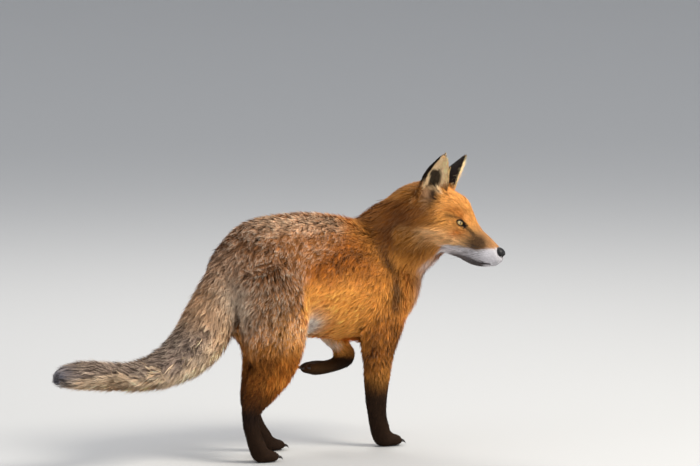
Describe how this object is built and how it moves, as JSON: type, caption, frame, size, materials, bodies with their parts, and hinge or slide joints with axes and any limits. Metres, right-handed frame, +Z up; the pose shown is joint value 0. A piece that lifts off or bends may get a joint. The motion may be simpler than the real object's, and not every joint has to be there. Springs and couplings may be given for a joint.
{
  "type": "red fox figure",
  "caption": "Life-size still model of a red fox in winter coat, in mid step with one forepaw lifted, head turned to its right and bushy tail carried low behind.",
  "frame": {"origin": "centre of the bounding box at floor level, under the trunk", "axes": "+X towards the breast and lies along the body, +Y to the animal's left, +Z up"},
  "size_m": [0.832, 0.2824, 0.5125],
  "materials": {
    "fur_orange": "soft orange winter fur",
    "fur_pale": "soft cream fur",
    "fur_dark": "short black-brown fur",
    "fur_grizzled": "grizzled brown fur with pale tips",
    "nose_leather": "moist black pebbled skin",
    "eye_amber": "polished amber eye"
  },
  "bodies": {
    "root": {"trunk_chest": "fur_orange", "trunk_belly": "fur_orange", "trunk_rump": "fur_grizzled", "neck": "fur_orange", "head": "fur_orange", "muzzle": "fur_orange", "lower_jaw": "fur_pale", "nose": "nose_leather", "eye_left": "eye_amber", "eye_right": "eye_amber", "ear_left": "fur_dark", "ear_right": "fur_dark", "foreleg_right": "fur_orange", "forepaw_right": "fur_dark", "foreleg_left": "fur_pale", "forepaw_left": "fur_dark", "thigh_right": "fur_orange", "shank_right": "fur_orange", "hindpaw_right": "fur_dark", "thigh_left": "fur_orange", "shank_left": "fur_orange", "hindpaw_left": "fur_dark", "tail_root": "fur_grizzled", "tail_middle": "fur_grizzled", "tail_end": "fur_grizzled"}
  },
  "joints": []
}
